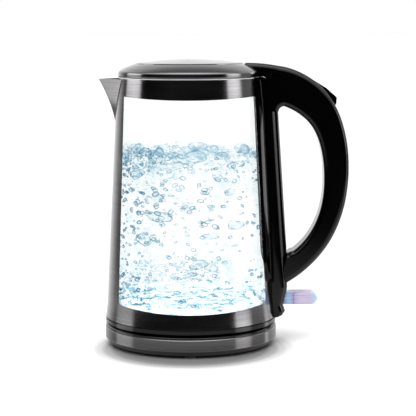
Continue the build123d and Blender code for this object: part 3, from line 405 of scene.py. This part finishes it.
def ripple_film(name, low, high):
    """Skin of the boiling water: broken bluish lines and soft patches, thick near its top and foot."""
    material, tree = empty_material(name)
    place = place_of(tree, (1.0, 1.0, 1.9))
    bend = shader(tree, "ShaderNodeTexNoise", {"Vector": place, "Scale": 55.0, "Detail": 2.0})
    bent = shader(tree, "ShaderNodeMix", {0: 0.014, 4: place, 5: bend.outputs["Color"]},
                  data_type="VECTOR").outputs[1]
    swirl = fuzz(tree, bent, 120.0, 3.0, 0.55)
    line = step(tree, maths(tree, "ABSOLUTE", maths(tree, "SUBTRACT", swirl, 0.5)), 0.035, 0.006)
    patch = maths(tree, "MULTIPLY", step(tree, fuzz(tree, bent, 70.0, 4.0, 0.6), 0.52, 0.66), 0.7)
    axes = axes_of(tree)
    height = shader(tree, "ShaderNodeMapRange", {"Value": axes["Z"], "From Min": low, "From Max": high})
    thick = ramp(tree, height.outputs["Result"], [
        (0.0, 1.0), (0.12, 0.85), (0.25, 0.30), (0.6, 0.28), (0.76, 0.50), (0.87, 0.75),
        (0.905, 1.0), (0.94, 1.0), (0.965, 0.5), (1.0, 0.0)])
    side = ramp(tree, scaled(tree, axes["X"], 7.0, 0.5), [(0.0, 1.0), (0.45, 0.85), (1.0, 0.55)])
    scatter = step(tree, fuzz(tree, place_of(tree), 34.0, 2.0), 0.62, 0.40)
    mask = maths(tree, "SUBTRACT", maths(tree, "MULTIPLY", thick, side),
                 maths(tree, "MULTIPLY", scatter, 0.35), clamp=True)
    strong = maths(tree, "MULTIPLY", maths(tree, "MAXIMUM", line, patch), mask)
    colour = ramp(tree, strong, [
        (0.0, (1, 1, 1)), (0.25, (0.80, 0.90, 0.94)), (0.6, (0.38, 0.60, 0.69)), (1.0, (0.09, 0.28, 0.36))])
    clear = shader(tree, "ShaderNodeBsdfTransparent", {"Color": colour})
    shader(tree, "ShaderNodeOutputMaterial", {"Surface": clear.outputs[0]})
    return material


def boiling_white(name):
    """Foam of fine bubbles: white, with darker bluish patches between the lumps that are painted shade, and a
    faint painted glow.
    """
    material, tree, main = blank(name, (0.9, 0.95, 0.97), 0.3, IOR=1.33)
    lumps = fuzz(tree, place_of(tree, (1, 1, 2.4)), 105.0, 4.0, 0.6)
    cells = shader(tree, "ShaderNodeTexVoronoi", {"Vector": place_of(tree), "Scale": 420.0},
                   feature="DISTANCE_TO_EDGE").outputs["Distance"]
    foam_white_and_shade = ramp(tree, lumps, [
        (0.36, (0.13, 0.26, 0.33)), (0.43, (0.45, 0.61, 0.69)),
        (0.50, (0.84, 0.92, 0.95)), (0.60, (1, 1, 1))])
    tree.links.new(foam_white_and_shade, main.inputs["Base Color"])
    bump_from(tree, main, cells, 0.5, 0.0006)
    # Painted glow: the foam gives off light in these colours, though it is no lamp.
    tree.links.new(foam_white_and_shade, main.inputs["Emission Color"])
    main.inputs["Emission Strength"].default_value = 0.55
    return material


def lever_violet(name, root, tip):
    """Clear violet moulding: deep at its root, with a pale blue band, lavender beyond and a bluish tip that
    is a painted glint.
    """
    material, tree, main = blank(name, (0.7, 0.62, 0.86), 0.14, IOR=1.49)
    along = shader(tree, "ShaderNodeMapRange", {"Value": axes_of(tree)["X"],
                                                "From Min": root, "From Max": tip})
    cloud = fuzz(tree, place_of(tree, (1, 1, 2.5)), 420.0, 3.0, 0.6)
    along = maths(tree, "ADD", along.outputs["Result"], scaled(tree, cloud, 0.09, -0.045))
    tint = ramp(tree, along, [
        (0.0, (0.10, 0.05, 0.28)), (0.19, (0.17, 0.10, 0.38)), (0.24, (0.25, 0.32, 0.56)),
        (0.30, (0.25, 0.50, 0.66)), (0.38, (0.30, 0.42, 0.62)), (0.44, (0.32, 0.25, 0.48)),
        # The bluish stop at 0.93 is a painted glint at the paddle's end.
        (0.54, (0.44, 0.36, 0.54)), (0.86, (0.46, 0.38, 0.55)), (0.93, (0.30, 0.54, 0.68)),
        (1.0, (0.42, 0.42, 0.60))])
    streaks = fuzz(tree, place_of(tree, (60, 60, 900)), 1.0, 3.0, 0.6)
    streaked = step(tree, streaks, 0.45, 0.7)
    pale = shader(tree, "ShaderNodeMix", {0: streaked, 6: tint, 7: (0.56, 0.52, 0.64, 1)},
                  data_type="RGBA").outputs[2]
    tree.links.new(pale, main.inputs["Base Color"])
    # Painted glow: the paddle gives off light in these colours, glint included, with no lamp inside it.
    tree.links.new(pale, main.inputs["Emission Color"])
    main.inputs["Emission Strength"].default_value = 0.1
    rough_from(tree, main, cloud, 0.08, 0.2)
    bump_from(tree, main, streaks, 0.2, 0.00006)
    return material


def make_materials():
    """All materials by key: first the record's slots, then the finishes that only scene pieces wear."""
    lever_low, lever_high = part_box("switch_lever")
    steel = brushed_steel("brushed_gunmetal", (0.17, 0.165, 0.17), (0.25, 0.245, 0.25))
    disc = brushed_steel("brushed_disc", (0.37, 0.367, 0.37), (0.51, 0.505, 0.51), flat=True)
    stainless = metal("stainless_sheet", (0.62, 0.62, 0.62), (0.72, 0.72, 0.72), (0.16, 0.3), (40, 2600, 900))
    trim = metal("satin_trim", (0.85, 0.85, 0.85), (0.93, 0.93, 0.93), (0.5, 0.6), (40, 40, 3000))
    aluminium = metal("cast_aluminium", (0.68, 0.68, 0.67), (0.78, 0.78, 0.77), (0.35, 0.55), depth=0.00005)
    water = edge_shaded_film("water", [
        (0.0, (1, 1, 1)), (0.7, (0.985, 0.995, 1)), (0.95, (0.95, 0.98, 0.99)), (1.0, (0.8, 0.9, 0.93))],
        shine=0.01)
    surface = edge_shaded_film("water_surface", [
        (0.0, (0.95, 0.98, 1)), (0.8, (0.86, 0.93, 0.96)), (0.92, (0.62, 0.79, 0.85)),
        (1.0, (0.30, 0.52, 0.60))], 0.7, 60.0, 0.4)
    bubble = edge_shaded_film("bubble_wall", [
        (0.0, (0.96, 0.985, 1)), (0.13, (0.92, 0.965, 0.98)), (0.32, (0.42, 0.67, 0.77)),
        (0.55, (0.09, 0.32, 0.43)), (1.0, (0.01, 0.15, 0.23))], 0.6, 240.0)
    froth = edge_shaded_film("froth", [
        (0.0, (0.99, 1, 1)), (0.4, (0.95, 0.98, 0.99)), (0.7, (0.68, 0.84, 0.90)), (1.0, (0.30, 0.52, 0.60))],
        0.6, 330.0)
    cap = edge_shaded_film("bubble_cap", [
        (0.0, (0.95, 0.98, 0.99)), (0.4, (0.82, 0.91, 0.945)), (0.62, (0.48, 0.69, 0.78)),
        (0.82, (0.16, 0.38, 0.48)), (1.0, (0.05, 0.20, 0.28))], 0.8, 210.0)
    return {
        "dark_steel": steel,
        "gloss_black": gloss_plastic("gloss_black_plastic", (0.0005, 0.0005, 0.0006)),
        "matte_black": satin_plastic("satin_black_plastic", (0.005, 0.005, 0.0055)),
        "cream_plastic": satin_plastic("cream_nylon", (0.72, 0.68, 0.58), 1.06, (0.35, 0.5), 900.0),
        "stainless": stainless,
        "aluminium": aluminium,
        "brass": metal("turned_brass", (0.72, 0.52, 0.22), (0.82, 0.62, 0.30), (0.18, 0.34), (60, 60, 5000)),
        "silicone": satin_plastic("white_silicone", (0.62, 0.64, 0.65), 1.2, (0.42, 0.6), 1500.0),
        "rubber": satin_plastic("rubber", (0.016, 0.016, 0.016), 1.5, (0.6, 0.85), 1700.0, 0.0001),
        "spring_steel": metal("zinc_plated_steel", (0.45, 0.46, 0.47), (0.58, 0.59, 0.6), (0.2, 0.36)),
        "glass": clear_film("jug_glass", (0.99, 0.997, 0.997), 0.14),
        "clear_violet": satin_plastic("lever_acrylic", (0.72, 0.66, 0.86), 1.1, (0.1, 0.2), 500.0, 0.00001),
        "disc_steel": disc,
        "satin_trim": trim,
        "water": water,
        "surface": surface,
        "bubble": bubble,
        "froth": froth,
        "cap": cap,
        "ripples": ripple_film("water_ripples", WATER_LOW, WATER_TOP + SPLASH),
        "boiling": boiling_white("boiling_layer"),
        "lever": lever_violet("lever_violet", lever_low[0], lever_high[0]),
        "lever_line": satin_plastic("lever_line", (0.60, 0.57, 0.72), 1.1, (0.1, 0.2), 900.0, 0.00001),
        "lever_dot": satin_plastic("lever_dot", (0.16, 0.06, 0.42), 1.3, (0.12, 0.22), 900.0, 0.00001),
    }


def dress_nodes(materials):
    """Give each carried-over node the material of its slot."""
    for name, obj in NODES.items():
        slot = obj.data.materials[0].name.split(".")[0]
        chosen = SPECIAL_FINISH.get(name, slot)
        for i in range(len(obj.material_slots)):
            obj.material_slots[i].material = materials[chosen]


# ---------------------------------------------------------------- new pieces
def new_piece(name, vertices, faces, material, body, finish, stands_for=()):
    """Mesh piece that rides on a body and may stand for CAD nodes, which it hides; finish is not used."""
    mesh = bpy.data.meshes.new(name)
    mesh.from_pydata([tuple(v) for v in vertices], [], [tuple(f) for f in faces])
    mesh.polygons.foreach_set("use_smooth", [True] * len(mesh.polygons))
    mesh.materials.append(material)
    mesh.update()
    piece = bpy.data.objects.new(name, mesh)
    bpy.context.scene.collection.objects.link(piece)
    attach(piece, body)
    if stands_for:
        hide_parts(*stands_for)
    return piece


def spun(profile, count=240, closed=True):
    """Vertices and faces of a (radius, height) profile spun about the jug's axis."""
    turns = np.arange(count) * (math.tau / count)
    profile = np.array(profile)
    ring_x = profile[:, 0, None] * np.cos(turns)
    ring_y = profile[:, 0, None] * np.sin(turns)
    ring_z = np.repeat(profile[:, 1, None], count, axis=1)
    vertices = np.stack([ring_x, ring_y, ring_z], axis=2).reshape(-1, 3)
    rows = len(profile)
    faces = []
    for row in range(rows if closed else rows - 1):
        for turn in range(count):
            after = (turn + 1) % count
            up = (row + 1) % rows
            faces.append((row * count + turn, up * count + turn, up * count + after, row * count + after))
    return vertices, faces


def glass_wall():
    """Inner radius of the glass body by height, as two arrays."""
    spots = np.array([v.co[:] for v in NODES["glass_body"].data.vertices])
    radius, height = np.hypot(spots[:, 0], spots[:, 1]), np.round(spots[:, 2], 4)
    levels = np.unique(height)
    return levels, np.array([radius[height == level].min() for level in levels])


WALL_LEVELS, WALL_RADII = glass_wall()
WATER_LOW = WALL_LEVELS[0] + 0.4 * MM


def inside(height, gap=0.15 * MM):
    """Radius that is a gap clear of the glass at a height."""
    return np.interp(height, WALL_LEVELS, WALL_RADII) - gap


def make_water(materials):
    """Body of the water, its choppy top and the rippled skin against the glass."""
    heights = np.linspace(WATER_LOW, WATER_TOP - 2.6 * MM, 24)
    side = [(inside(h), h) for h in heights]
    side.insert(0, (0.5 * MM, WATER_LOW))
    new_piece("water_side", *spun(side, closed=False), materials["water"], "jug", "glass")
    heights = np.linspace(WATER_LOW, WATER_TOP + SPLASH, 40)
    skin = [(inside(h, 0.6 * MM), h) for h in heights]
    new_piece("water_ripples", *spun(skin, closed=False), materials["ripples"], "jug", "glass")
    rings = [(inside(WATER_TOP) * share, WATER_TOP) for share in np.linspace(0.01, 1.0, 60)]
    vertices, faces = spun(rings, closed=False)
    for i, (x, y, z) in enumerate(vertices):
        swell = noise.noise(Vector((x * 55, y * 55, 3.1)))
        swell += 0.6 * noise.noise(Vector((x * 130, y * 130, 8.4)))
        vertices[i][2] = z + CHOP * swell
    new_piece("water_top", vertices, faces, materials["surface"], "jug", "glass")


def make_lid_ring(materials):
    """Lid's steel ring, from its rolled lower edge over a finely rounded shoulder to the disc's opening."""
    low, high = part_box("lid_ring")
    rim, foot, crest = high[0], low[2], high[2]
    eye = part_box("lid_disc")[1][0] + 0.3 * MM
    bend = (rim - 1.05 * MM, foot + 4.85 * MM)

    def arc(start, middle, end, count):
        spots = []
        for share in np.linspace(0, 1, count):
            first = np.array(start) * (1 - share) + np.array(middle) * share
            second = np.array(middle) * (1 - share) + np.array(end) * share
            spots.append(tuple(first * (1 - share) + second * share))
        return spots

    outside = arc((rim - 0.9 * MM, foot), (rim, foot), (rim, foot + 0.8 * MM), 8)
    outside += arc((rim, foot + 2.2 * MM), (rim, foot + 4.1 * MM), bend, 16)
    outside += arc(bend, (rim - 6.6 * MM, foot + 8.6 * MM), (eye, crest), 24)[1:]
    inside_wall = [(eye, crest - 0.9 * MM), (rim - 7.8 * MM, foot + 7.2 * MM),
                   (rim - 1.8 * MM, foot + 4.0 * MM), (rim - 0.9 * MM, foot + 3.0 * MM)]
    new_piece("lid_shoulder", *spun(outside + inside_wall), materials["dark_steel"], "lid", "dark_steel",
              ["lid_ring"])


def make_paddle(materials):
    """The lever's clear violet paddle: a hub on the pin, a short neck, and a bar with a rounded end."""
    low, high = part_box("switch_lever")
    root, tip = low[0], high[0]
    middle, half_z, half_y = (low[2] + high[2]) / 2, (high[2] - low[2]) / 2, high[1]
    pin_low, pin_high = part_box("lever_pin")
    pin = (pin_low[0] + pin_high[0]) / 2
    hub = pin - root
    shoulder = pin + 2.8 * MM
    nose = 0.9 * half_z
    outline = [(shoulder, middle - half_z)]
    for i in range(25):
        turn = math.pi * (i / 24 - 0.5)
        outline.append((tip - nose + nose * math.cos(turn), middle + half_z * math.sin(turn)))
    outline += [(shoulder, middle + half_z), (shoulder, middle + hub)]
    for i in range(13):
        turn = math.pi * (i / 12 + 0.5)
        outline.append((pin + hub * math.cos(turn), middle + hub * math.sin(turn)))
    outline.append((shoulder, middle - hub))
    bm = bmesh.new()
    sides = [[bm.verts.new((x, y, z)) for x, z in outline] for y in (-half_y, half_y)]
    bm.faces.new(sides[0])
    bm.faces.new(reversed(sides[1]))
    count = len(outline)
    for i in range(count):
        after = (i + 1) % count
        bm.faces.new((sides[0][after], sides[0][i], sides[1][i], sides[1][after]))
    bmesh.ops.recalc_face_normals(bm, faces=bm.faces)
    rims = [edge for edge in bm.edges if abs(edge.verts[0].co.y - edge.verts[1].co.y) < 1e-6]
    bmesh.ops.bevel(bm, geom=rims, offset=1.1 * MM, segments=5, profile=0.5, affect="EDGES")
    bm.verts.index_update()
    vertices = [v.co[:] for v in bm.verts]
    faces = [tuple(v.index for v in face.verts) for face in bm.faces]
    bm.free()
    paddle = new_piece("lever_paddle", vertices, faces, materials["lever"], "lever", "clear_violet",
                       ["switch_lever"])
    paddle.data.set_sharp_from_angle(angle=math.radians(40))


def make_lever_marks(materials):
    """Raised guide lines along the paddle's sides and top, and dots near its middle."""
    low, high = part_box("switch_lever")
    root, reach = low[0], high[0] - low[0]
    middle, half_z, half_y = (low[2] + high[2]) / 2, (high[2] - low[2]) / 2, high[1]
    unit, unit_faces = ball(16, 9)

    def blobs(name, material, spots):
        """One piece of flattened balls, each (x, y, z, half sizes)."""
        vertices = [unit * size + np.array((x, y, z)) for x, y, z, size in spots]
        starts = range(0, len(unit) * len(spots), len(unit))
        faces = [tuple(start + i for i in face) for start in starts for face in unit_faces]
        new_piece(name, np.concatenate(vertices), faces, material, "lever", "clear_violet")

    lines, dots = [], []
    for y in (-half_y, half_y):
        for rise in (-0.62, -0.2, 0.24, 0.66):
            size = (0.24 * reach, 0.16 * MM, 0.22 * MM)
            lines.append((root + 0.66 * reach, y, middle + rise * half_z, size))
        for rise in (-0.68, -0.4, -0.1, 0.2, 0.5, 0.74):
            dots.append((root + 0.44 * reach, y, middle + rise * half_z, (0.45 * MM, 0.25 * MM, 0.45 * MM)))
            dots.append((root + 0.40 * reach, y, middle + (rise + 0.1) * half_z * 0.8,
                         (0.3 * MM, 0.2 * MM, 0.3 * MM)))
    for across in (-0.5, 0.0, 0.5):
        size = (0.26 * reach, 0.3 * MM, 0.16 * MM)
        lines.append((root + 0.6 * reach, across * half_y, middle + half_z, size))
    blobs("lever_lines", materials["lever_line"], lines)
    blobs("lever_dots", materials["lever_dot"], dots)


def ball(columns, rows):
    """Unit ball as vertices and faces."""
    vertices = [(0, 0, -1)]
    for row in range(1, rows):
        fall = math.pi * row / rows
        for column in range(columns):
            turn = math.tau * column / columns
            wide = math.sin(fall)
            vertices.append((wide * math.cos(turn), wide * math.sin(turn), -math.cos(fall)))
    vertices.append((0, 0, 1))
    last = len(vertices) - 1
    faces = []
    for column in range(columns):
        after = (column + 1) % columns
        faces.append((0, 1 + after, 1 + column))
        for row in range(rows - 2):
            low = 1 + row * columns
            high = low + columns
            faces.append((low + column, low + after, high + after, high + column))
        low = 1 + (rows - 2) * columns
        faces.append((low + column, low + after, last))
    return np.array(vertices), faces


def bubble_piece(name, bubbles, material, columns=14, rows=9):
    """One piece of many bubbles. Each is (turn, height, gap, half width, half height, tilt, wobble)."""
    unit, unit_faces = ball(columns, rows)
    vertices, faces = [], []
    for number, (turn, height, gap, wide, tall, tilt, wobble) in enumerate(bubbles):
        apart = Vector((7.3 * number, 0, 0))
        bumps = np.array([noise.noise(1.3 * Vector(v) + apart) for v in unit])
        shape = unit * (1 + wobble * bumps[:, None]) * (wide, 0.55 * min(wide, 1.4 * tall), tall)
        lean = Matrix.Rotation(tilt, 3, "Y")
        facing = Matrix.Rotation(turn, 3, "Z")
        spot = facing @ Vector((0, -(inside(height) - gap), height))
        placed = shape @ np.array(facing @ lean).T + np.array(spot)
        start = len(vertices) * len(unit)
        vertices.append(placed)
        faces.extend(tuple(start + i for i in face) for face in unit_faces)
    new_piece(name, np.concatenate(vertices), faces, material, "jug", "glass")


def crowd(draw, height, turn):
    """Whether a bubble may lie here: likely by the surface, the foot and the spout's side."""
    share = (height - WATER_LOW) / (WATER_TOP - WATER_LOW)
    upper, lower = max(0.0, (share - 0.45) / 0.55), max(0.0, 1 - share / 0.24)
    by_height = 0.56 + 0.5 * upper ** 1.2 + 0.7 * lower
    across = math.sin(turn)
    by_side = 1.0 if across < -0.25 else max(0.4, 1.0 - 0.6 * (across + 0.25))
    return draw.random() < by_height * by_side


def make_bubbles(materials):
    """Bubbles: rings, drops and large caps in the water, froth under the surface and domes on it."""
    draw = random.Random(11)

    def scattered(count, smallest, largest, flat, reach):
        found = []
        while len(found) < count:
            turn = draw.uniform(-math.pi, math.pi)
            height = draw.uniform(WATER_LOW + 2 * MM, WATER_TOP - 3 * MM)
            if abs(turn) > math.pi / 2 and draw.random() < 0.8:
                continue
            if not crowd(draw, height, turn):
                continue
            wide = draw.uniform(smallest, largest) * draw.uniform(0.6, 1.0)
            tall = wide * draw.uniform(*flat)
            found.append((turn, height, wide + draw.uniform(0.4 * MM, reach), wide, tall,
                          draw.gauss(0.0, 0.3), draw.uniform(0.1, 0.35)))
        return found

    rings = scattered(380, 1.6 * MM, 3.5 * MM, (0.42, 0.66), 7 * MM)
    bubble_piece("bubble_rings", rings, materials["bubble"])
    drops = scattered(360, 0.5 * MM, 1.1 * MM, (0.5, 0.95), 6 * MM)
    bubble_piece("bubble_drops", drops, materials["bubble"], 9, 6)
    caps = [(turn, height * MM, gap * MM, wide * MM, tall * MM, tilt, 0.5)
            for turn, height, gap, wide, tall, tilt in LARGE_BUBBLES]
    bubble_piece("bubble_caps", caps, materials["cap"], 24, 14)
    froth = []
    for _ in range(300):
        turn = draw.uniform(-math.pi, math.pi)
        left = 0.5 - 0.5 * math.sin(turn)
        height = WATER_TOP + draw.gauss(-1.5, 1.8 + 2.2 * left) * MM
        wide = draw.uniform(0.7, 2.0 + 1.2 * left) * MM
        froth.append((turn, height, wide + draw.uniform(0.3, 9.0) * MM, wide, wide * draw.uniform(0.45, 0.8),
                      draw.gauss(0, 0.3), 0.4))
    bubble_piece("froth", froth, materials["froth"], 10, 7)
    domes = [(turn, WATER_TOP + rise * MM, gap * MM, wide * MM, tall * MM, 0.0, 0.12)
             for turn, rise, gap, wide, tall in DOMES]
    bubble_piece("surface_domes", domes, materials["cap"], 28, 16)


def make_boiling_layer(materials):
    """Lumpy pale layer of fine bubbles over the heating plate, out to the glass."""
    top = WATER_LOW + FOAM
    wall = [(inside(height, 0.4 * MM), height) for height in np.linspace(WATER_LOW, top, 6)]
    sheet = [(inside(top, 0.4 * MM) * share, top) for share in np.linspace(0.99, 0.01, 70)]
    vertices, faces = spun(wall + sheet, closed=False)
    for i, (x, y, z) in enumerate(vertices):
        swell = noise.noise(Vector((x * 120, y * 120, 1.7)))
        swell += 0.5 * noise.noise(Vector((x * 300, y * 300, 5.2)))
        vertices[i][2] = z + LUMPS * swell * (z - WATER_LOW) / FOAM
    new_piece("boiling_layer", vertices, faces, materials["boiling"], "jug", "glass")


make_camera()
make_world()
make_floor()
make_key_light()
bpy.context.scene.view_settings.view_transform = "Standard"
bpy.context.scene.cycles.transparent_max_bounces = 96      # bubbles lie many deep behind one another
MATERIALS = make_materials()
dress_nodes(MATERIALS)
make_water(MATERIALS)
make_bubbles(MATERIALS)
make_boiling_layer(MATERIALS)
make_lid_ring(MATERIALS)
make_paddle(MATERIALS)
make_lever_marks(MATERIALS)
